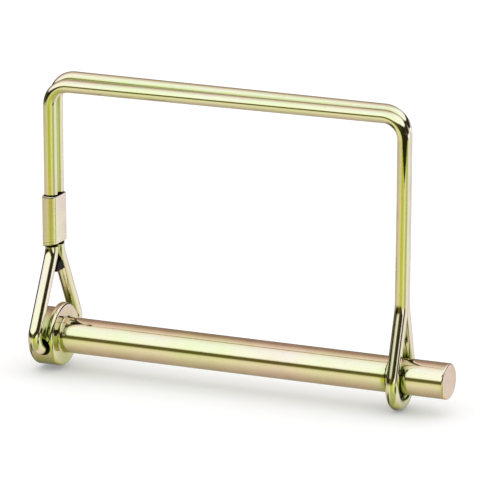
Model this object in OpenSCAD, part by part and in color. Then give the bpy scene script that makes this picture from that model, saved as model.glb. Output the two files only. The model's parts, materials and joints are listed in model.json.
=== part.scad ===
/* [Pin] */
// Diameter of the round shank
shank_d = 8; // [6:0.5:10]
// Length of the shank from the shoulder to its free end
shank_l = 92.6; // [85:0.1:110]
// Chamfer round the free end
shank_chamfer = 0.35; // [0.2:0.05:1]
// Fillet between the shank and the shoulder
shank_fillet = 0.4; // [0.2:0.05:0.5]
// Distance from the shoulder to the middle of the shallow seat that the latch loop rests round
seat_x = 80.4; // [80:0.1:81]
// Width of the seat
seat_w = 3.2; // [2:0.1:3.2]
// Depth of the shallow seat
seat_depth = 0.2; // [0.18:0.01:0.4]

/* [Head] */
// Diameter of the head
head_d = 14.3; // [13.8:0.1:14.8]
// Length of the head behind the shoulder
head_l = 6.3; // [5.5:0.1:9]
// Rounding of the head's back edge
back_round = 1; // [0.3:0.1:1.5]
// Rounding of the head's rim at the shoulder
head_round = 0.8; // [0.3:0.1:1]
// Thickness of the full round collar next to the shoulder
collar_t = 1.7; // [1.6:0.1:2]
// Radius of the crown that is worked down behind the collar
crown_r = 7.7; // [7.5:0.1:9]
// Height of the crown above the pin's axis
crown_h = 5.7; // [5:0.1:6]
// Distance of the cross hole behind the shoulder
hole_back = 2.7; // [2.6:0.05:3.4]
// Distance of the cross hole below the pin's axis
hole_drop = 1.5; // [0.5:0.1:2]
// Diameter of the countersink at each mouth of the cross hole
hole_mouth_d = 4; // [3.4:0.1:4.2]
// Depth of that countersink
hole_mouth_depth = 1.2; // [0.5:0.1:2]

/* [Wire] */
// Diameter of the spring wire
wire_d = 3; // [2.5:0.1:3.2]
// Gap between the two runs of wire where they lie side by side
wire_gap = 0.06; // [0.04:0.01:0.2]
// Running clearance between the wire and the cross hole, all round
pivot_gap = 0.08; // [0.02:0.01:0.1]
// Depth of each wire foot inside the head
foot_depth = 5.2; // [3:0.1:6]
// Height of the front run at its head end, above the pin's axis
arch_h = 57.3; // [50:0.1:70]
// How much higher the front run is at its latch end
arch_rise = 0.9; // [0:0.1:2]
// How much higher the rear run is than the front run at the head end
rear_rise = 1.2; // [0:0.1:1.5]
// How much higher the rear run is than the front run at the latch end
rear_rise_latch = 0.5; // [0:0.1:1.5]
// How far the arch leans back past the cross hole at its head end
arch_back = 0.25; // [0:0.05:1.5]
// Distance from the shoulder to the front latch leg at the arch
latch_x = 82.2; // [70:0.1:84]
// Offset of the rear latch leg towards the head
rear_shift = 1.0; // [0:0.1:1.2]
// Radius of the arch's corners, to the middle of the wire
corner_r = 4.8; // [3:0.1:8]

/* [Pivot legs] */
// Height where the two legs' middle lines part above the head
pivot_split_z = 19; // [17:0.1:19]
// Lean of each parted leg, from upright
pivot_lean = 27.6; // [24:0.1:28]
// Radius of the bend where the legs part, to the middle of the wire
splay_r = 6; // [3:0.5:6]
// Radius of the bend into the cross hole, to the middle of the wire
foot_r = 3; // [2.4:0.1:4]

/* [Latch loop] */
// Height where the two wires part above the shank
latch_split_z = 15.5; // [13:0.1:20]
// Radius of the loop that closes under the shank, to the middle of the wire
loop_r = 5.7; // [5.65:0.05:7]
// Distance of the loop's centre below the pin's axis
loop_drop = 0.55; // [0.2:0.05:0.75]
// How much nearer the head the loop's bottom is than the latch leg's top
loop_back = 0.8; // [0.5:0.1:1.1]
// Radius of the bends where the loop's sides part, to the middle of the wire
parting_r = 10; // [4:1:14]

/* [Ferrule] */
// Height of the ferrule's lower end
ferrule_z = 20.5; // [20.5:0.1:30]
// Length of the ferrule
ferrule_l = 11.5; // [8:0.1:16]
// Thickness of the ferrule's sheet
ferrule_t = 0.25; // [0.2:0.05:0.4]
// Clearance between the ferrule's sheet and the wires
ferrule_gap = 0.03; // [0.02:0.01:0.1]
// Rounding of the ferrule's corners outside
ferrule_round = 0.9; // [0.6:0.1:1.2]
// Slant of the ferrule's lower end, up towards the latch side
ferrule_slant = 12; // [0:1:16]

/* [Spreader] */
// Height of the spreader's middle
spreader_z = 15.7; // [15:0.1:17]
// Height of the spreader
spreader_h = 2; // [1.5:0.1:3]
// Thickness of the spreader along the pin
spreader_t = 2; // [1:0.1:3]
// How far the spreader sits ahead of the legs' middle
spreader_ahead = 0.4; // [0:0.1:1]
// Clearance between the spreader and each leg
spreader_gap = 0.03; // [0.02:0.01:0.1]

/* [Hidden] */
$fn = 64;
eps = 0.01;
// How far a straight rod laps into the bend at its end, and how much thinner the bend is drawn
lap = 0.05;
bend_d = wire_d - 0.02;
// Space between the ends of the arch and the ends of the latch leg
split_gap = 0.02;

pin_colour = [0.80, 0.82, 0.55];
wire_colour = [0.76, 0.74, 0.36];
ferrule_colour = [0.80, 0.79, 0.48];
spreader_colour = [0.24, 0.21, 0.10];

wire_r = wire_d / 2;
lane = wire_r + wire_gap / 2;
head_r = head_d / 2;

// Round stock turned along +X from a profile of [distance from axis, place along the pin]
module turned(profile) {
    rotate([0, 90, 0]) rotate_extrude() polygon(profile);
}

// Quarter-circle points round a centre, from one angle to another
function arc_points(cx, cy, r, from, to, steps = 8) =
    [for (i = [0:steps]) let (a = from + (to - from) * i / steps) [cx + r * cos(a), cy + r * sin(a)]];

// --- Wire bending: straight rods joined by true torus bends ---------------------------------

function unit(v) = v / norm(v);

// A turn that carries +Z to a direction
module pointing(heading) {
    turn = acos(max(-1, min(1, heading.z)));
    axis = turn < 0.01 || turn > 179.99 ? [1, 0, 0] : cross([0, 0, 1], heading);
    rotate(a = turn, v = axis) children();
}

// The angle that the wire turns through between two headings
function turn_between(a, b) = acos(max(-1, min(1, a * b)));

// Distance from a corner to where its bend of radius r starts
function bend_reach(turn, r) = r * tan(turn / 2);

// A bend of radius r that starts at a point, heading one way, and turns to head another
module bend(start, heading, next, r) {
    inward = unit(next - (next * heading) * heading);
    side = cross(heading, inward);
    // The bend's own frame: X out from its centre, Y along the wire's first heading
    multmatrix([
        [-inward.x, heading.x, side.x, start.x + inward.x * r],
        [-inward.y, heading.y, side.y, start.y + inward.y * r],
        [-inward.z, heading.z, side.z, start.z + inward.z * r],
        [0, 0, 0, 1]])
        rotate_extrude(angle = turn_between(heading, next)) translate([r, 0]) circle(d = bend_d);
}

// Wire through a list of [corner point, bend radius], with its two ends as the first and last.
// Each straight rod laps a little way into the bends at its ends.
module bent_wire(path) {
    last = len(path) - 1;
    heading = [for (i = [0:last - 1]) unit(path[i + 1][0] - path[i][0])];
    reach = [for (i = [0:last]) i == 0 || i == last ? 0
        : bend_reach(turn_between(heading[i - 1], heading[i]), path[i][1])];
    union() {
        for (i = [0:last - 1]) {
            before = reach[i] - (i == 0 ? 0 : lap);
            after = reach[i + 1] - (i + 1 == last ? 0 : lap);
            translate(path[i][0] + heading[i] * before) pointing(heading[i])
                cylinder(d = wire_d, h = norm(path[i + 1][0] - path[i][0]) - before - after);
        }
        for (i = [1:last - 1])
            bend(path[i][0] - heading[i - 1] * reach[i], heading[i - 1], heading[i], path[i][1]);
    }
}

// --- Places that the wire passes through -----------------------------------------------------

pivot = [-hole_back, 0, -hole_drop];
// Lean of the loop's straight sides: tangent from the parting point to the loop's circle
loop_far = norm([lane, latch_split_z + loop_drop]);
loop_lean = asin(loop_r / loop_far) - atan(lane / (latch_split_z + loop_drop));
// Where the side's line meets the level of the loop's bottom
loop_corner = bend_reach(90 + loop_lean, loop_r);
loop_bottom = -loop_drop - loop_r;
// Where a leaning leg's line meets the line of the cross hole
foot_y = lane + (pivot_split_z + hole_drop) * tan(pivot_lean);
// Corners of the front run (side -1) and the rear run (side 1)
function head_corner(side) = [pivot.x - arch_back, side * lane, arch_h + (side > 0 ? rear_rise : 0)];
function latch_corner(side) = [latch_x - (side > 0 ? rear_shift : 0), side * lane,
    arch_h + arch_rise + (side > 0 ? rear_rise_latch : 0)];
// Where the latch leg is a separate body: just below the arch's corner
split_z = arch_h + arch_rise - corner_r - 1;
// A point on the latch leg at a height, between the arch's corner and the loop's bottom
function on_latch_leg(side, z) =
    let (top = latch_corner(side)) [top.x - loop_back * (top.z - z) / (top.z - loop_bottom), top.y, z];

// Lean of the arch's head-end legs towards the back
arch_lean = atan(arch_back / (arch_h - pivot_split_z));

// --- Sub-parts --------------------------------------------------------------------------------

// Headed pin: shank with a seat for the loop, collar, crowned head and cross hole
module pin() {
    shank_r = shank_d / 2;
    seat_from = seat_x - seat_w / 2;
    seat_r = shank_r - seat_depth;
    color(pin_colour) difference() {
        union() {
            turned(concat(
                [[0, -eps]],
                [[shank_r + shank_fillet, -eps]],
                arc_points(shank_r + shank_fillet, shank_fillet, shank_fillet, 270, 180),
                [[shank_r, seat_from], [seat_r, seat_from + seat_depth],
                 [seat_r, seat_from + seat_w - seat_depth], [shank_r, seat_from + seat_w],
                 [shank_r, shank_l - shank_chamfer], [shank_r - shank_chamfer, shank_l], [0, shank_l]]));
            head();
        }
        translate(pivot) for (side = [-1, 1]) rotate([-90 * side, 0, 0]) {
            cylinder(r = wire_r + pivot_gap, h = head_r + 1);
            translate([0, 0, head_r - hole_mouth_depth])
                cylinder(r1 = wire_r + pivot_gap, r2 = hole_mouth_d / 2, h = hole_mouth_depth + eps);
        }
    }
}

module head() {
    intersection() {
        turned(concat(
            [[0, -head_l]],
            arc_points(head_r - back_round, -head_l + back_round, back_round, -90, 0),
            arc_points(head_r - head_round, -head_round, head_round, 0, 90),
            [[0, 0]]));
        union() {
            translate([-collar_t, -head_r - 1, -head_r - 1]) cube([collar_t + 1, head_d + 2, head_d + 2]);
            translate([-head_l - 1, 0, crown_h - crown_r]) rotate([0, 90, 0])
                cylinder(r = crown_r, h = head_l + 1);
        }
    }
}

// Both runs of the arch, from the cross hole over the top to the joint with the latch leg
module wire_bail() {
    color(wire_colour) for (side = [-1, 1])
        bent_wire([
            [[pivot.x, side * (head_r - foot_depth), pivot.z], 0],
            [[pivot.x, side * foot_y, pivot.z], foot_r],
            [[pivot.x, side * lane, pivot_split_z], splay_r],
            [head_corner(side), corner_r],
            [latch_corner(side), corner_r],
            [on_latch_leg(side, split_z), 0]]);
}

// Latch leg and the loop that closes under the shank
module latch_loop() {
    color(wire_colour) bent_wire([
        [on_latch_leg(-1, split_z - split_gap), 0],
        [on_latch_leg(-1, latch_split_z), parting_r],
        [[on_latch_leg(-1, loop_bottom).x, -loop_corner, loop_bottom], loop_r],
        [[on_latch_leg(1, loop_bottom).x, loop_corner, loop_bottom], loop_r],
        [on_latch_leg(1, latch_split_z), parting_r],
        [on_latch_leg(1, split_z - split_gap), 0]]);
}

// Sheet sleeve that holds the two wires together, square to the leaning legs, its lower end slanted
module ferrule() {
    in_x = wire_d + 2 * ferrule_gap;
    in_y = 2 * lane + wire_d + 2 * ferrule_gap;
    out_x = in_x + 2 * ferrule_t;
    out_y = in_y + 2 * ferrule_t;
    color(ferrule_colour) translate([pivot.x, 0, pivot_split_z]) rotate([0, -arch_lean, 0])
        translate([0, 0, ferrule_z - pivot_split_z]) difference() {
            rounded_bar(out_x, out_y, ferrule_round, ferrule_l);
            translate([0, 0, -1]) rounded_bar(in_x, in_y, ferrule_round - ferrule_t, ferrule_l + 2);
            translate([-out_x / 2, -out_y / 2 - 1, 0]) rotate([0, -ferrule_slant, 0])
                translate([-1, 0, -out_x]) cube([2 * out_x, out_y + 2, out_x]);
        }
}

// Upright bar with rounded corners, centred on its axis
module rounded_bar(x, y, r, h) {
    union() {
        translate([-x / 2 + r, -y / 2, 0]) cube([x - 2 * r, y, h]);
        translate([-x / 2, -y / 2 + r, 0]) cube([x, y - 2 * r, h]);
        for (sx = [-1, 1], sy = [-1, 1])
            translate([sx * (x / 2 - r), sy * (y / 2 - r), 0]) cylinder(r = r, h = h);
    }
}

// Small wedge between the two parted legs, under the ferrule, with sides that follow the legs
module spreader() {
    function half_gap(z) = lane + (pivot_split_z - z) * tan(pivot_lean) - wire_r / cos(pivot_lean) - spreader_gap;
    low = spreader_z - spreader_h / 2;
    high = spreader_z + spreader_h / 2;
    color(spreader_colour) translate([pivot.x - spreader_t / 2 + spreader_ahead, 0, 0])
        rotate([90, 0, 90]) linear_extrude(spreader_t)
            polygon([[-half_gap(low), low], [half_gap(low), low], [half_gap(high), high], [-half_gap(high), high]]);
}

pin();
wire_bail();
latch_loop();
ferrule();
spreader();
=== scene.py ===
"""Looks of the square wire lock pin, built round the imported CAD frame: yellow-zinc steel on a pale floor."""

import json
import math

import bpy
import numpy as np
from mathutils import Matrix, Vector


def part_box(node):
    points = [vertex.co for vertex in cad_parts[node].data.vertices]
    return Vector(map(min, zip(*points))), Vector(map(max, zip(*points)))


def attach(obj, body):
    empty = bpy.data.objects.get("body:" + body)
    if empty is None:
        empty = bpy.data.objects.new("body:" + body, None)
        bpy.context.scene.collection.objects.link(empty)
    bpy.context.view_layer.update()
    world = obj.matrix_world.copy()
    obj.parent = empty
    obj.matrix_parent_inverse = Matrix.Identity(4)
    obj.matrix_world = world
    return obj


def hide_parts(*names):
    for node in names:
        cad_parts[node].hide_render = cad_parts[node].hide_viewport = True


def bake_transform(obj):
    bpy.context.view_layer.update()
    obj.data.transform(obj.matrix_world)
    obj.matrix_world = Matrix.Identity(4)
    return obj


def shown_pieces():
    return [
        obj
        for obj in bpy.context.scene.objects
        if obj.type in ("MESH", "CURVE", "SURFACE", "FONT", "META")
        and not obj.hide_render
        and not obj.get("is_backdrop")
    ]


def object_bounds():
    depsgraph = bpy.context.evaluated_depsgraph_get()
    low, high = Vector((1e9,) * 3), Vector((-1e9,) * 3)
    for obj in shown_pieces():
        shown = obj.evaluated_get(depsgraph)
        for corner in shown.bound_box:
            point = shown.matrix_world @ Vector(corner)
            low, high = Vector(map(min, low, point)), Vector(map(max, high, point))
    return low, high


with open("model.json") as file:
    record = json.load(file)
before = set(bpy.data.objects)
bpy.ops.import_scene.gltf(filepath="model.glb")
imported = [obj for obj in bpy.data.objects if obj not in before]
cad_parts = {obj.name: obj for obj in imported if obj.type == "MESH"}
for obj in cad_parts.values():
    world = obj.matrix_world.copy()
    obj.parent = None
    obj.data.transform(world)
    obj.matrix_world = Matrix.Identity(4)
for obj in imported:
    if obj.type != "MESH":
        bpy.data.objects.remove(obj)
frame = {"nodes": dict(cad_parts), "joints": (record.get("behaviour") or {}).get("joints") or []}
cad_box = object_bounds()
joints = {j["name"]: j for j in frame["joints"]}

MM = 0.001

# --- Sizes of the real piece that a box can't give, in millimetres -----------------------------

SHANK_R = 4.0
SHANK_FILLET = 0.4
SHANK_END_R = 0.45
SEAT_FROM, SEAT_TO = 78.8, 82.0
# How far in from the seat's end, and how deep below the shank, from its lip to its floor
SEAT_LIP = [(0.0, 0.0), (0.06, 0.02), (0.18, 0.18), (0.26, 0.2)]
HEAD_R = 7.15
HEAD_ROUND = 0.8
BACK_ROUND = 1.0
COLLAR_T = 1.7
CROWN_R, CROWN_H, CROWN_EDGE = 7.7, 5.7, 0.12
STEP_R = 0.35
HOLE_R = 1.58
HOLE_MOUTH_R, HOLE_MOUTH_DEPTH = 2.0, 1.2

WIRE_R = 1.5
LANE = 1.53
FOOT_DEPTH = 5.2
FOOT_R = 3.0
SPLIT_Z = 19.0
LEAN = 27.6
SPLAY_R = 6.0
ARCH_BACK = 0.25
ARCH_H, ARCH_RISE = 57.3, 0.9
REAR_RISE, REAR_RISE_LATCH = 1.2, 0.5
LATCH_X, REAR_SHIFT = 82.2, 1.0
CORNER_R, FLEX_SPAN = 4.8, 6.0
LATCH_SPLIT_Z, PARTING_R = 15.5, 10.0
LATCH_LEG_BOW, LATCH_BOW_Z, LATCH_BOW_R = 1.6, 38.0, 500.0
LOOP_R, LOOP_DROP, LOOP_BACK = 5.7, 0.55, 0.8

FERRULE_T, FERRULE_SLANT = 0.25, 12.0
FERRULE_FRONT_R, FERRULE_FRONT_TURN, FERRULE_SIDE_TURN = 2.6, 35.0, 2.5
FERRULE_PLAY, FERRULE_LIP = 0.03, 0.09
SEAM_W, SEAM_DEPTH = 0.09, 0.16
CRIMP_DEPTH, CRIMP_PITCH, CRIMP_REACH = 0.014, 0.62, 0.95

PIN_LOW, PIN_HIGH = (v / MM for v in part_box("pin"))
PIVOT = Vector(joints["bail_swing"]["pos_m"]) / MM


# --- Meshes ------------------------------------------------------------------------------------

def mesh_from_rings(name, rings, closed=False):
    """A skin over rings of points, each [count, 3] in millimetres: a fan over each end, or, if closed, the
    last ring joined to the first."""
    count, around = len(rings), len(rings[0])
    grid = np.arange(count * around).reshape(count, around)
    faces = []
    for i in range(count if closed else count - 1):
        here, after = grid[i], grid[(i + 1) % count]
        for j in range(around):
            k = (j + 1) % around
            faces.append((here[j], here[k], after[k], after[j]))
    points = list(rings)
    if not closed:
        points += [rings[0].mean(0)[None], rings[-1].mean(0)[None]]
        first, last = count * around, count * around + 1
        for j in range(around):
            k = (j + 1) % around
            faces.append((first, grid[0][k], grid[0][j]))
            faces.append((last, grid[-1][j], grid[-1][k]))
    mesh = bpy.data.meshes.new(name)
    mesh.from_pydata((np.concatenate(points) * MM).tolist(), [], [tuple(map(int, face)) for face in faces])
    mesh.polygons.foreach_set("use_smooth", [True] * len(mesh.polygons))
    obj = bpy.data.objects.new(name, mesh)
    bpy.context.scene.collection.objects.link(obj)
    return obj


def arc(cx, cy, r, start, end, steps):
    """Points round a centre from one angle to another, in degrees."""
    angles = np.radians(np.linspace(start, end, steps + 1))
    return [(cx + r * math.cos(a), cy + r * math.sin(a)) for a in angles]


def bent_path(corners, step=0.25):
    """The middle line of a wire through a list of (corner, bend radius), with its two ends first and last."""
    points = [Vector(corners[0][0])]
    for (before, _), (corner, r), (after, _) in zip(corners, corners[1:], corners[2:]):
        before, corner, after = Vector(before), Vector(corner), Vector(after)
        a, b = (corner - before).normalized(), (after - corner).normalized()
        turn = a.angle(b)
        start = corner - a * r * math.tan(turn / 2)
        inward = (b - a * a.dot(b)).normalized()
        centre = start + inward * r
        steps = max(6, int(r * turn / step))
        for i in range(steps + 1):
            t = turn * i / steps
            points.append(centre - inward * r * math.cos(t) + a * r * math.sin(t))
    points.append(Vector(corners[-1][0]))
    return points


def spaced(points, step):
    """The same line with long straight stretches cut into steps."""
    out = [points[0]]
    for a, b in zip(points, points[1:]):
        n = max(1, int((b - a).length / step))
        out += [a + (b - a) * (i / n) for i in range(1, n + 1)]
    return out


def sweep(name, points, radius, around=40, end_round=0.35):
    """A round wire along a line, with rounded ends."""
    points = [np.array(p) for p in points]
    tangents = [points[1] - points[0]]
    tangents += [after - before for before, after in zip(points, points[2:])]
    tangents += [points[-1] - points[-2]]
    tangents = [t / np.linalg.norm(t) for t in tangents]
    angles = np.linspace(0, 2 * math.pi, around, endpoint=False)
    # How far in from the end and how wide, from the wire's tip to its full width
    rounding = [(end_round * (1 - math.sin(a)), radius - end_round * (1 - math.cos(a)))
                for a in np.radians([90, 67.5, 45, 22.5])]

    def ring(centre, tangent, normal, r):
        other = np.cross(tangent, normal)
        return centre + r * (np.cos(angles)[:, None] * normal + np.sin(angles)[:, None] * other)

    rings = []
    side = np.cross(tangents[0], [0.0, 0.0, 1.0])
    for i, (p, tangent) in enumerate(zip(points, tangents)):
        side = side - tangent * side.dot(tangent)
        side /= np.linalg.norm(side)
        if i == 0:
            rings += [ring(p + tangent * back, tangent, side, r) for back, r in rounding]
        elif i == len(points) - 1:
            rings += [ring(p - tangent * back, tangent, side, r) for back, r in reversed(rounding)]
        else:
            rings.append(ring(p, tangent, side, radius))
    return mesh_from_rings(name, rings)


# --- The one length of spring wire -------------------------------------------------------------

def wire_corners():
    """The wire's corners and bend radii, from the front foot over the arch, round the loop and back again."""
    foot_y = LANE + (SPLIT_Z - PIVOT.z) * math.tan(math.radians(LEAN))
    loop_bottom = -LOOP_DROP - LOOP_R
    loop_far = math.hypot(LANE, LATCH_SPLIT_Z + LOOP_DROP)
    loop_lean = math.asin(LOOP_R / loop_far) - math.atan(LANE / (LATCH_SPLIT_Z + LOOP_DROP))
    loop_corner = LOOP_R * math.tan((math.pi / 2 + loop_lean) / 2)

    def half(side):
        rear = side > 0
        top = Vector((LATCH_X - (REAR_SHIFT if rear else 0), side * LANE,
                      ARCH_H + ARCH_RISE + (REAR_RISE_LATCH if rear else 0)))

        def on_latch_leg(y, z):
            return (top.x - LOOP_BACK * ((top.z - z) / (top.z - loop_bottom)) ** LATCH_LEG_BOW, y, z)

        return [
            ((PIVOT.x, side * (HEAD_R - FOOT_DEPTH), PIVOT.z), 0),
            ((PIVOT.x, side * foot_y, PIVOT.z), FOOT_R),
            ((PIVOT.x, side * LANE, SPLIT_Z), SPLAY_R),
            ((PIVOT.x - ARCH_BACK, side * LANE, ARCH_H + (REAR_RISE if rear else 0)), CORNER_R),
            (tuple(top), CORNER_R),
            (on_latch_leg(side * LANE, LATCH_BOW_Z), LATCH_BOW_R),
            (on_latch_leg(side * LANE, LATCH_SPLIT_Z), PARTING_R),
            (on_latch_leg(side * loop_corner, loop_bottom), LOOP_R)]

    return half(-1) + half(1)[::-1]


spring_wire = sweep("spring_wire", spaced(bent_path(wire_corners()), step=0.8), WIRE_R)
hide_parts("wire_bail", "latch_loop")


# --- The pin -----------------------------------------------------------------------------------

def crown_radius(angle):
    """Distance from the pin's axis to the worked-down crown, or to the full round where that is less."""
    up = math.sin(angle)
    centre = CROWN_H - CROWN_R
    crown = centre * up + math.sqrt(CROWN_R ** 2 - (centre * math.cos(angle)) ** 2)
    gap = (crown - HEAD_R) / CROWN_EDGE
    return HEAD_R - CROWN_EDGE * math.log1p(math.exp(-gap)) if gap > -30 else crown


def pin_profile(angle):
    """The pin's outline at one angle round its axis, as (place along the pin, distance from the axis)."""
    back, end = PIN_LOW.x, PIN_HIGH.x
    crown = crown_radius(angle)
    step = HEAD_R - crown
    rise = min(STEP_R, step / 2)
    run = max(0.06, rise)
    line = [(back, crown * f) for f in (0.02, 0.2, 0.4, 0.6, 0.75)]
    line += arc(back + BACK_ROUND, crown - BACK_ROUND, BACK_ROUND, 180, 90, 10)
    line += [(x, crown) for x in np.linspace(back + BACK_ROUND, -COLLAR_T - run, 12)[1:-1]]
    line += [(-COLLAR_T - run + run * math.sin(a), crown + rise * (1 - math.cos(a)))
             for a in np.linspace(0, math.pi / 2, 7)]
    line += [(-COLLAR_T + run - run * math.cos(a), HEAD_R - rise + rise * math.sin(a))
             for a in np.linspace(0, math.pi / 2, 7)]
    line += arc(-HEAD_ROUND, HEAD_R - HEAD_ROUND, HEAD_ROUND, 90, 0, 10)
    line += [(0.0, r) for r in np.linspace(HEAD_R - HEAD_ROUND, SHANK_R + SHANK_FILLET, 6)[1:-1]]
    line += arc(SHANK_FILLET, SHANK_R + SHANK_FILLET, SHANK_FILLET, 180, 270, 6)
    line += [(x, SHANK_R) for x in np.linspace(SHANK_FILLET, SEAT_FROM, 60)[1:-1]]
    line += [(SEAT_FROM + inward, SHANK_R - depth) for inward, depth in SEAT_LIP]
    line += [(SEAT_TO - inward, SHANK_R - depth) for inward, depth in reversed(SEAT_LIP)]
    line += [(x, SHANK_R) for x in np.linspace(SEAT_TO, end - SHANK_END_R, 10)[1:]]
    line += arc(end - SHANK_END_R, SHANK_R - SHANK_END_R, SHANK_END_R, 82, 8, 8)
    line += [(end, SHANK_R * f) for f in (0.84, 0.7, 0.5, 0.3, 0.15, 0.02)]
    return line


def make_hole_cutter():
    """The cross hole through the head, flared at each mouth."""
    y_flare = HEAD_R - HOLE_MOUTH_DEPTH
    outline = [(y_flare, HOLE_R)]
    outline += [(y_flare + HOLE_MOUTH_DEPTH * t, HOLE_R + (HOLE_MOUTH_R - HOLE_R) * t ** 1.6)
                for t in np.linspace(0, 1, 7)[1:]]
    outline += [(HEAD_R + 2, HOLE_MOUTH_R + 0.9)]
    outline = [(-y, r) for y, r in outline[::-1]] + outline
    turns = np.linspace(0, 2 * math.pi, 64, endpoint=False)
    rings = [np.stack([PIVOT.x + r * np.cos(turns), np.full(len(turns), y), PIVOT.z + r * np.sin(turns)], 1)
             for y, r in outline]
    return mesh_from_rings("hole_cutter", rings)


def make_pin():
    """The turned pin, as outlines at many angles round its axis, with the cross hole cut out."""
    profiles = []
    for a in np.linspace(0, 2 * math.pi, 160, endpoint=False):
        profiles.append([(x, -r * math.cos(a), r * math.sin(a)) for x, r in pin_profile(a)])
    rings = [np.array([profile[i] for profile in profiles]) for i in range(len(profiles[0]))]
    pin = mesh_from_rings("lock_pin", rings)
    cutter = make_hole_cutter()
    cut = pin.modifiers.new("cross_hole", "BOOLEAN")
    cut.operation, cut.solver, cut.object = "DIFFERENCE", "EXACT", cutter
    evaluated = pin.evaluated_get(bpy.context.evaluated_depsgraph_get())
    mesh = bpy.data.meshes.new_from_object(evaluated)
    pin.modifiers.clear()
    pin.data = mesh
    bpy.data.objects.remove(cutter)
    mesh.set_sharp_from_angle(angle=math.radians(32))
    return pin


pin = make_pin()
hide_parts("pin")


# --- The ferrule ---------------------------------------------------------------------------------

def ferrule_outline():
    """The sheet's outline in plan, as (point, outward direction): a bowed front and back, tight corners and
    nearly flat sides, each arc running smoothly into the next. The sheet's two edges meet at the back."""
    low, high = (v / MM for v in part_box("ferrule"))
    half_x = WIRE_R + FERRULE_PLAY + FERRULE_T
    half_y = (high.y - low.y) / 2
    a, b = math.radians(FERRULE_FRONT_TURN), math.radians(FERRULE_SIDE_TURN)
    # The corner's and the side's radii follow from the size of the box round them
    corner_r, side_r = np.linalg.solve(
        [[math.cos(b) - math.sin(a), 1 - math.cos(b)], [math.cos(a) - math.sin(b), math.sin(b)]],
        [half_x - FERRULE_FRONT_R * math.sin(a), half_y - FERRULE_FRONT_R * (1 - math.cos(a))])
    arcs = [(FERRULE_FRONT_R, 0.0, a, 14),
            (corner_r, a, math.pi / 2 - b, 8),
            (side_r, math.pi / 2 - b, math.pi / 2, 6)]
    quarter, x, y = [], 0.0, -half_y
    for r, start, end, steps in arcs:
        centre_x, centre_y = x - r * math.sin(start), y + r * math.cos(start)
        for i in range(steps):
            turn = start + (end - start) * i / steps
            quarter.append((centre_x + r * math.sin(turn), centre_y - r * math.cos(turn), turn))
        x, y = centre_x + r * math.sin(end), centre_y - r * math.cos(end)
    front = quarter + [(x, y, math.pi / 2)]
    right = front + [(px, -py, math.pi - turn) for px, py, turn in front[-2::-1]]
    loop = right + [(-px, py, -turn) for px, py, turn in right[-2:0:-1]]
    return [(np.array([px, py]), np.array([math.sin(turn), -math.cos(turn)])) for px, py, turn in loop]


def make_ferrule():
    """The sheet sleeve: its outside from foot to top, then its inside back down, with a slanted foot."""
    low, high = (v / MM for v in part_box("ferrule"))
    outline = ferrule_outline()
    half_x = max(point[0] for point, _ in outline)
    half_y = max(point[1] for point, _ in outline)
    lean = math.atan(ARCH_BACK / (ARCH_H - SPLIT_Z))
    length = high.z - low.z
    base = np.array([PIVOT.x - (low.z - SPLIT_Z) * math.tan(lean), 0.0, low.z])

    def ring(depth, up, swell=0.0):
        points = []
        for point, out in outline:
            on_seam = point[1] > half_y / 2 and depth < FERRULE_T / 2
            seam = SEAM_DEPTH * math.exp(-(point[0] / SEAM_W) ** 2) if on_seam else 0.0
            x, y = point + out * (swell - depth - seam)
            foot = (point[0] + half_x) * math.tan(math.radians(FERRULE_SLANT))
            z = foot + up * (length - foot)
            points.append((x - z * math.sin(lean), y, z * math.cos(lean)))
        return np.array(points) + base

    def crimp(up):
        """Two soft crimps just above the foot, where the sheet was squeezed onto the wires."""
        from_foot = up * length
        wave = math.cos(from_foot * 2 * math.pi / CRIMP_PITCH)
        return CRIMP_DEPTH * wave * math.exp(-(from_foot / CRIMP_REACH) ** 2)

    edge = FERRULE_LIP / length
    ups = [edge * f for f in (0, 0.3, 1)]
    ups += list(np.linspace(0.012, 0.16, 24)) + list(np.linspace(0.2, 0.96, 18))
    ups += [1 - edge * f for f in (1, 0.3, 0)]
    lips = {0: 1.0, 1: 0.3, len(ups) - 2: 0.3, len(ups) - 1: 1.0}
    outer = [ring(FERRULE_LIP * lips.get(i, 0.0), up, crimp(up)) for i, up in enumerate(ups)]
    inner_ups = [1.0, 1 - edge] + list(np.linspace(0.9, 0.1, 9)) + [edge, 0.0]
    inner = [ring(FERRULE_T - (0.06 if up in (0.0, 1.0) else 0.0), up) for up in inner_ups]
    ferrule = mesh_from_rings("wire_ferrule", outer + inner, closed=True)
    ferrule.data.set_sharp_from_angle(angle=math.radians(60))
    return ferrule


ferrule = make_ferrule()
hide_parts("ferrule")


# --- Node trees ---------------------------------------------------------------------------------

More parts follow.
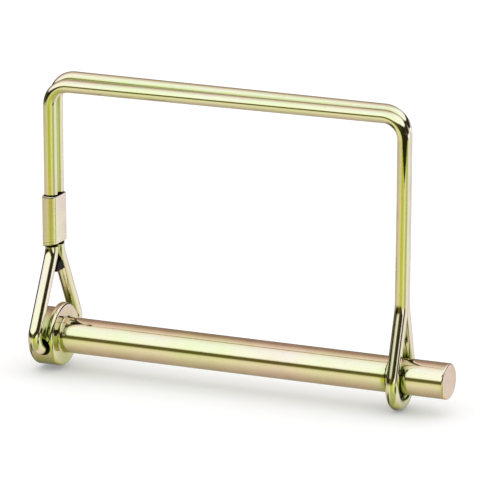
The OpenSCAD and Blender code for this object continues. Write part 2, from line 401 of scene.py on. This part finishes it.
class Tree:
    """A short way to write a node tree."""

    def __init__(self, tree):
        self.nodes, self.links = tree.nodes, tree.links
        self.nodes.clear()

    def add(self, kind, inputs=None, out=0, **settings):
        """A new node with its inputs set or linked; gives back one of its outputs."""
        node = self.nodes.new(kind)
        for key, value in settings.items():
            setattr(node, key, value)
        for key, value in (inputs or {}).items():
            if isinstance(value, bpy.types.NodeSocket):
                self.links.new(value, node.inputs[key])
            else:
                node.inputs[key].default_value = value
        return node.outputs[out] if node.outputs else None

    def math(self, operation, a, b=0.0, c=0.0, clamp=False):
        return self.add("ShaderNodeMath", {0: a, 1: b, 2: c}, operation=operation, use_clamp=clamp)

    def product(self, *factors):
        result = factors[0]
        for factor in factors[1:]:
            result = self.math("MULTIPLY", result, factor)
        return result

    def dot(self, a, b):
        return self.add("ShaderNodeVectorMath", {0: a, 1: b}, out=1, operation="DOT_PRODUCT")

    def noise(self, vector, scale, detail=3.0, roughness=0.5):
        return self.add("ShaderNodeTexNoise", {"Vector": vector, "Scale": scale, "Detail": detail,
                                               "Roughness": roughness})

    def ramp(self, value, stops):
        """A colour, or a grey, for each place from 0 to 1, blended evenly between the stops."""
        node = self.add("ShaderNodeValToRGB", {0: value}).node
        elements = node.color_ramp.elements
        while len(elements) < len(stops):
            elements.new(1.0)
        for element, (place, colour) in zip(elements, stops):
            element.position = place
            element.color = (colour, colour, colour, 1.0) if isinstance(colour, float) else (*colour, 1.0)
        return node.outputs[0]

    def mix(self, factor, a, b, blend="MIX"):
        """a where the factor is 0, b where it is 1; a colour may be given as three numbers."""
        a, b = ((*c, 1.0) if isinstance(c, tuple) else c for c in (a, b))
        return self.add("ShaderNodeMix", {0: factor, 6: a, 7: b}, out=2, data_type="RGBA", blend_type=blend)

    def spread(self, value, low, high, to_low=0.0, to_high=1.0):
        """0 where the value is low, 1 where it is high, unless other ends are given."""
        return self.add("ShaderNodeMapRange", {0: value, 1: low, 2: high, 3: to_low, 4: to_high})


# --- Materials -----------------------------------------------------------------------------------

# Painted shade colours: green and near-black for hollows and for the wires by the ferrule's ends, near-black
# inside the cross hole
PAINTED_SHADE_GREEN, PAINTED_SHADE_BLACK, HOLE_PAINTED_SHADE = (0.34, 0.42, 0.05), (0.014, 0.010, 0.003), (0.010, 0.008, 0.003)
SPOT_BROWN = (0.30, 0.25, 0.12)
HEAD_END_SHADE_TINT = (0.95, 0.99, 0.86)
HOLLOW_REACH = 6 * MM

# From edge-on (0) to face-on (1)
PIN_TINTS = [
    (0.0, (0.50, 0.40, 0.33)), (0.2, (0.66, 0.53, 0.44)), (0.4, (0.80, 0.65, 0.53)),
    (0.62, (0.88, 0.79, 0.62)), (0.85, (0.90, 0.86, 0.66)), (1.0, (0.88, 0.86, 0.60))]
WIRE_TINTS = [
    (0.0, (0.42, 0.42, 0.37)), (0.2, (0.66, 0.60, 0.53)), (0.4, (0.84, 0.77, 0.68)),
    (0.62, (0.89, 0.84, 0.72)), (0.85, (0.90, 0.88, 0.68)), (1.0, (0.88, 0.86, 0.58))]
SHEET_TINTS = [
    (0.0, (0.58, 0.52, 0.46)), (0.3, (0.80, 0.73, 0.64)), (0.65, (0.97, 0.92, 0.78)),
    (1.0, (0.98, 0.97, 0.74))]
FILM_HUES = [(0.0, (1.0, 0.93, 0.98)), (0.5, (1.0, 0.98, 0.94)), (1.0, (0.94, 1.0, 0.84))]


def new_tree(name):
    """A new material and its empty node tree."""
    material = bpy.data.materials.new(name)
    material.use_nodes = True
    return material, Tree(material.node_tree)


def in_cross_hole(t, across, deep, high):
    """1 inside the head's cross hole, where shade is painted nearly black on plate and wire."""
    off_axis = t.add("ShaderNodeCombineXYZ", {0: t.math("SUBTRACT", across, PIVOT.x * MM),
                                              2: t.math("SUBTRACT", high, PIVOT.z * MM)})
    off_axis = t.add("ShaderNodeVectorMath", {0: off_axis}, out=1, operation="LENGTH")
    return t.product(t.spread(off_axis, (HOLE_MOUTH_R + 0.15) * MM, (HOLE_MOUTH_R - 0.02) * MM),
                     t.spread(t.math("ABSOLUTE", deep), (HEAD_R + 1.0) * MM, (HEAD_R + 0.4) * MM))


def by_ferrule_ends(t, across, high, mottle):
    """1 on the wires just past the ferrule's ends, where shade is painted nearly black."""
    low_end, high_end = (corner.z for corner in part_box("ferrule"))
    past_end = t.math("MAXIMUM", t.math("SUBTRACT", high, high_end),
                      t.math("SUBTRACT", low_end + 0.3 * MM, high))
    ragged = t.math("MULTIPLY_ADD", mottle, 0.4 * MM, 0.2 * MM)
    return t.product(t.math("LESS_THAN", past_end, ragged), t.spread(across, 12 * MM, 10 * MM))


def zinc(name, tints, rough=0.08, film=0.10, streak=(1.0, 1.0, 1.0), shaded_at_ferrule_ends=False):
    """Yellow-iridescent zinc plate. tints runs from edge-on to face-on; film is how far the plate's uneven
    thickness shifts it; streak stretches the drawing and turning marks; shaded_at_ferrule_ends turns on
    painted shade, nearly black, on the wires where they leave the ferrule."""
    material, t = new_tree(name)
    place = t.add("ShaderNodeTexCoord", out=3)
    across, deep, high = t.add("ShaderNodeSeparateXYZ", {0: place}).node.outputs
    geometry = t.add("ShaderNodeNewGeometry").node
    facing = t.dot(geometry.outputs["Normal"], geometry.outputs["Incoming"])
    drawn = t.add("ShaderNodeMapping", {"Vector": place, "Scale": streak})

    clouds = t.noise(place, 45.0, 2.0)
    patches = t.noise(place, 210.0, 3.0)
    mottle = t.noise(place, 1100.0, 4.0)
    marks = t.noise(drawn, 3000.0, 4.0, 0.65)
    shift = t.math("ADD", t.spread(patches, 0.3, 0.7, -film, film),
                   t.spread(mottle, 0.3, 0.7, -0.3 * film, 0.3 * film))
    tint = t.ramp(t.math("ADD", t.math("ABSOLUTE", facing), shift, clamp=True), tints)
    tint = t.mix(1.0, tint, t.ramp(t.spread(clouds, 0.36, 0.64), FILM_HUES), "MULTIPLY")

    # Painted shade: where the plate lies close to another surface (ambient occlusion) it is tinted greener,
    # and at the bottom of a gap nearly black
    hollow = t.add("ShaderNodeAmbientOcclusion", {"Distance": HOLLOW_REACH}, out=1, samples=8)
    tint = t.mix(t.spread(hollow, 0.80, 0.42, 0.0, 0.85), tint, PAINTED_SHADE_GREEN)
    tint = t.mix(t.spread(hollow, 0.36, 0.20), tint, PAINTED_SHADE_BLACK)
    # Painted shade: towards the head end, where the parts shade one another, the plate is tinted a little
    # greener
    greener = t.mix(1.0, tint, HEAD_END_SHADE_TINT, "MULTIPLY")
    tint = t.mix(t.spread(across, 24 * MM, 0.0, 0.0, 0.5), tint, greener)
    # Painted shade, nearly black, inside the cross hole
    tint = t.mix(in_cross_hole(t, across, deep, high), tint, HOLE_PAINTED_SHADE)
    # Painted shade, nearly black, on the wires just past the ferrule's ends
    if shaded_at_ferrule_ends:
        tint = t.mix(by_ferrule_ends(t, across, high, mottle), tint, PAINTED_SHADE_BLACK)
    spots = t.ramp(t.noise(place, 1700.0, 2.0), [(0.64, 0.0), (0.70, 1.0)])
    tint = t.mix(t.math("MULTIPLY", spots, 0.10), tint, SPOT_BROWN)

    roughness = t.math("ADD", t.spread(mottle, 0.3, 0.7, rough - 0.02, rough + 0.03),
                       t.spread(marks, 0.4, 0.75, 0.0, 0.03))
    height = t.math("ADD", t.math("MULTIPLY", marks, 0.5), t.math("MULTIPLY", mottle, 0.6))
    bump = t.add("ShaderNodeBump", {"Strength": 0.06, "Distance": 0.03 * MM, "Height": height})
    shader = t.add("ShaderNodeBsdfPrincipled", {"Base Color": tint, "Metallic": 1.0,
                                                "Roughness": roughness, "Normal": bump})
    t.add("ShaderNodeOutputMaterial", {"Surface": shader})
    return material


def dark_dull_steel():
    """Dull, nearly black steel for the small spreader."""
    material, t = new_tree("dark_steel")
    place = t.add("ShaderNodeTexCoord", out=3)
    grain = t.noise(place, 2600.0, 4.0, 0.65)
    tint = t.ramp(t.noise(place, 600.0, 2.0), [(0.35, (0.004, 0.003, 0.001)), (0.65, (0.010, 0.007, 0.003))])
    worn = t.math("MULTIPLY", t.spread(grain, 0.60, 0.72), 0.5)
    tint = t.mix(worn, tint, (0.030, 0.024, 0.010))
    bump = t.add("ShaderNodeBump", {"Strength": 0.25, "Distance": 0.05 * MM, "Height": grain})
    roughness = t.spread(grain, 0.3, 0.7, 0.42, 0.62)
    shader = t.add("ShaderNodeBsdfPrincipled", {"Base Color": tint, "Metallic": 0.0,
                                                "Specular IOR Level": 0.08,
                                                "Roughness": roughness, "Normal": bump})
    t.add("ShaderNodeOutputMaterial", {"Surface": shader})
    return material


pin_zinc = zinc("zinc_pin", PIN_TINTS, streak=(0.12, 1.0, 1.0))
wire_zinc = zinc("zinc_wire", WIRE_TINTS, streak=(1.0, 1.0, 0.15), shaded_at_ferrule_ends=True)
sheet_zinc = zinc("zinc_sheet", SHEET_TINTS, rough=0.24, streak=(1.0, 1.0, 0.2))
dark_steel = dark_dull_steel()

pin.data.materials.clear()
pin.data.materials.append(pin_zinc)
spring_wire.data.materials.append(wire_zinc)
ferrule.data.materials.append(sheet_zinc)
spreader = frame["nodes"]["spreader"]
spreader.data.materials.clear()
spreader.data.materials.append(dark_steel)

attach(pin, "pin")
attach(ferrule, "bail")
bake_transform(spring_wire)


# --- Floor, light and camera --------------------------------------------------------------------

FLOOR_HALF = 40.0


def add_mesh(name, points, faces):
    """A new object in the scene; the points are in metres."""
    mesh = bpy.data.meshes.new(name)
    mesh.from_pydata(points, [], faces)
    obj = bpy.data.objects.new(name, mesh)
    bpy.context.scene.collection.objects.link(obj)
    return obj


def make_floor(level, wire):
    """A pale plane at level, which sinks with the wire when the wire swings down past it."""
    corners = [(x * FLOOR_HALF, y * FLOOR_HALF, level) for x, y in ((-1, -1), (1, -1), (1, 1), (-1, 1))]
    floor = add_mesh("floor", corners, [(0, 1, 2, 3)])
    material, t = new_tree("pale_floor")
    shader = t.add("ShaderNodeBsdfPrincipled", {"Base Color": (0.78, 0.78, 0.78, 1), "Roughness": 0.9,
                                                "Emission Color": (1, 1, 1, 1), "Emission Strength": 0.22})
    t.add("ShaderNodeOutputMaterial", {"Surface": shader})
    floor.data.materials.append(material)
    floor.visible_glossy = False
    floor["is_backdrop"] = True

    group = bpy.data.node_groups.new("floor_under_the_wire", "GeometryNodeTree")
    for in_out in ("INPUT", "OUTPUT"):
        group.interface.new_socket("Geometry", in_out=in_out, socket_type="NodeSocketGeometry")
    t = Tree(group)
    shape = t.add("GeometryNodeObjectInfo", {"Object": wire}, out="Geometry", transform_space="RELATIVE")
    low_corner = t.add("GeometryNodeBoundBox", {"Geometry": shape}, out="Min")
    lowest = t.add("ShaderNodeSeparateXYZ", {0: low_corner}, out="Z")
    drop = t.math("MINIMUM", t.math("SUBTRACT", lowest, level), 0.0)
    sunk = t.add("GeometryNodeSetPosition", {"Geometry": t.add("NodeGroupInput"),
                                             "Offset": t.add("ShaderNodeCombineXYZ", {2: drop})})
    t.add("NodeGroupOutput", {"Geometry": sunk})
    floor.modifiers.new("level", "NODES").node_group = group


# What the reflections see all round, by the angle in degrees from straight ahead of the piece: upwards for
# the tent, and to the right for the ring below the lens
TENT = [
    (-180, (0.50, 0.40, 0.34)), (-112, (0.55, 0.50, 0.43)), (-94, (0.56, 0.47, 0.39)),
    (-69, (0.64, 0.56, 0.44)), (-49, (0.76, 0.70, 0.56)), (-31, (0.87, 0.80, 0.64)),
    (-14, (0.80, 0.76, 0.50)), (0, (0.95, 0.95, 0.80)), (24, (1.10, 1.14, 1.18)),
    (63, (1.04, 1.09, 1.22)), (90, (0.94, 0.90, 0.90)), (115, (0.72, 0.58, 0.50)),
    (144, (0.34, 0.26, 0.20)), (180, (0.50, 0.40, 0.34))]
LOW_RING = [
    (-180, (0.60, 0.50, 0.42)), (-70, (0.74, 0.68, 0.53)), (-45, (0.80, 0.75, 0.42)),
    (-25, (0.76, 0.71, 0.22)), (-12, (0.62, 0.58, 0.07)), (6, (0.60, 0.58, 0.07)),
    (27, (0.62, 0.62, 0.26)), (45, (0.86, 0.90, 0.52)), (62, (0.60, 0.66, 0.32)),
    (74, (0.46, 0.50, 0.22)), (86, (0.46, 0.50, 0.22)), (98, (0.80, 0.88, 0.60)),
    (125, (0.92, 0.92, 0.84)), (155, (0.94, 0.92, 0.94)), (180, (0.75, 0.68, 0.60))]
RIGHT_WHITE = (1.12, 1.11, 1.26)
TABLE_GREEN, TABLE_PINK, TABLE_DARK = (0.46, 0.49, 0.20), (0.90, 0.76, 0.66), (0.03, 0.028, 0.010)
GAP_LEFT, GAP_RIGHT, GAP_FAR_LEFT = (0.12, 0.10, 0.02), (0.02, 0.016, 0.004), (0.012, 0.010, 0.003)
UPRIGHT_DARK = (0.10, 0.06, 0.035)
PIN_ENDS_SEE = (0.40, 0.88, -0.25)
LEGS_SEE_Z = -0.25


def surroundings(t, x, y, z):
    """The tent above and, below the lens, the ring and the table."""
    forward = t.math("MULTIPLY", y, -1.0)

    def by_angle(up, stops):
        turn = t.spread(t.math("ARCTAN2", up, forward), -math.pi, math.pi)
        return t.ramp(turn, [((angle + 180) / 360, colour) for angle, colour in stops])

    above = t.mix(t.spread(x, -0.15, 0.35), by_angle(z, TENT), RIGHT_WHITE)
    under_loop = t.product(t.spread(x, -0.34, -0.12), t.spread(y, -0.10, 0.15))
    table = t.mix(under_loop, TABLE_GREEN, TABLE_PINK)
    low = t.mix(t.spread(z, -0.45, -0.72), by_angle(x, LOW_RING), table)
    low = t.mix(t.product(t.spread(z, -0.50, -0.62), t.spread(x, -0.44, -0.52)), low, TABLE_DARK)
    off_the_shank = t.math("MAXIMUM", t.spread(x, -0.38, -0.20), t.spread(x, -0.50, -0.70))
    return t.mix(t.product(t.spread(z, -0.04, -0.16), off_the_shank), above, low)


def dark_gap(t, direction, x, z):
    """The gap between tent and table, level with the lens, as (where it is, its colour)."""
    climb = t.spread(x, -0.20, 0.50)

    def edge(at_left, rise):
        return t.math("MULTIPLY_ADD", climb, rise, at_left)

    far_climb = t.math("MULTIPLY", t.spread(x, 0.35, 0.75), 0.30)
    bottom = t.spread(t.math("SUBTRACT", z, far_climb), edge(-0.26, 0.04), edge(-0.11, -0.07))
    top = t.spread(z, edge(0.235, 0.34), edge(0.125, 0.38))
    # The plain ends of the pin are lit from behind, so the gap stops short of what they see
    past_ends = t.spread(t.dot(direction, PIN_ENDS_SEE), 0.955, 0.89)
    gap = t.product(t.math("MINIMUM", bottom, top), past_ends)
    # It is blackest at the far left, past what the shank sees, for the splayed strands of wire, but not
    # straight to the left, which the arch's top run sees from the tip end
    colour = t.mix(climb, GAP_LEFT, GAP_RIGHT)
    far_left = t.product(t.spread(x, -0.48, -0.62), t.spread(x, -0.995, -0.965))
    return gap, t.mix(far_left, colour, GAP_FAR_LEFT)


def upright_band(t, x, y, z):
    """Something dark and upright at the right, broken where the legs would see it."""
    from_legs = t.math("ABSOLUTE", t.math("SUBTRACT", z, LEGS_SEE_Z))
    return t.product(t.spread(y, -0.42, -0.30), t.spread(y, 0.16, 0.04), t.spread(x, 0.45, 0.60),
                     t.spread(from_legs, 0.04, 0.10), t.spread(z, 0.35, 0.20), t.spread(z, -0.62, -0.50))


def make_world():
    """A soft studio: a bright tent above, a dark gap at the level of the lens that climbs to the right, and
    a table below with a dim yellow patch low on the lens's side. Only reflections see it; everything else is
    lit by even white."""
    world = bpy.data.worlds.new("studio")
    bpy.context.scene.world = world
    world.use_nodes = True
    t = Tree(world.node_tree)
    direction = t.add("ShaderNodeTexCoord", out=0)
    x, y, z = t.add("ShaderNodeSeparateXYZ", {0: direction}).node.outputs
    gap, gap_colour = dark_gap(t, direction, x, z)
    level = t.mix(gap, surroundings(t, x, y, z), gap_colour)
    level = t.mix(upright_band(t, x, y, z), level, UPRIGHT_DARK)

    for_reflections = t.add("ShaderNodeBackground", {"Color": level, "Strength": 1.0})
    plain = t.add("ShaderNodeBackground", {"Color": (1, 1, 1, 1), "Strength": 1.12})
    rays = t.add("ShaderNodeLightPath").node
    shader = t.add("ShaderNodeMixShader", {0: rays.outputs["Is Glossy Ray"], 1: plain, 2: for_reflections})
    t.add("ShaderNodeOutputWorld", {"Surface": shader})


CARD_REACH, CARD_FOOT_Z, CARD_TOP_Z, CARD_FOOT_RISE = 50.0, 31.3, 60.0, 9.5
CARD_MIDDLE, CARD_HALF_TURN = math.radians(34), math.radians(42)


def make_card():
    """A small black card with a rounded foot, curved round the upper latch leg, seen only by reflections."""
    points = []
    for turn in np.linspace(-1, 1, 33):
        angle = CARD_MIDDLE + CARD_HALF_TURN * turn
        x, y = LATCH_X + CARD_REACH * math.sin(angle), -CARD_REACH * math.cos(angle)
        points += [(x, y, CARD_FOOT_Z + CARD_FOOT_RISE * abs(turn) ** 1.2), (x, y, CARD_TOP_Z)]
    card = add_mesh("black_card", [tuple(c * MM for c in p) for p in points],
                    [(i, i + 2, i + 3, i + 1) for i in range(0, len(points) - 2, 2)])
    material, t = new_tree("black_card")
    t.add("ShaderNodeOutputMaterial", {"Surface": t.add("ShaderNodeEmission", {"Color": (*GAP_RIGHT, 1)})})
    card.data.materials.append(material)
    card.visible_camera = card.visible_diffuse = card.visible_shadow = False
    card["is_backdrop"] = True


AZIMUTH, ELEVATION = math.radians(24.5), math.radians(14.8)
DISTANCE, FILL = 1.5, 0.88


def make_camera():
    """Looks from the front, to the right and a little above, with a long lens; the piece fills most of the
    frame."""
    back = Vector((math.sin(AZIMUTH) * math.cos(ELEVATION),
                   -math.cos(AZIMUTH) * math.cos(ELEVATION),
                   math.sin(ELEVATION)))
    turn = (-back).to_track_quat("-Z", "Y")
    right, up = turn @ Vector((1, 0, 0)), turn @ Vector((0, 1, 0))
    corners = [obj.matrix_world @ v.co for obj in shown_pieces() for v in obj.data.vertices]
    across = [c.dot(right) for c in corners]
    high = [c.dot(up) for c in corners]
    target = right * (min(across) + max(across)) / 2 + up * (min(high) + max(high)) / 2
    width = max(max(across) - min(across), max(high) - min(high))
    data = bpy.data.cameras.new("camera")
    data.sensor_width = 36.0
    data.lens = data.sensor_width * FILL * DISTANCE / width
    data.clip_start, data.clip_end = 0.1, 200.0
    camera = bpy.data.objects.new("camera", data)
    bpy.context.scene.collection.objects.link(camera)
    camera.location = target + back * DISTANCE
    camera.rotation_mode = "QUATERNION"
    camera.rotation_quaternion = turn
    bpy.context.scene.camera = camera


make_floor(cad_box[0].z, spring_wire)
make_world()
make_card()
make_camera()
bpy.context.scene.view_settings.view_transform = "Standard"
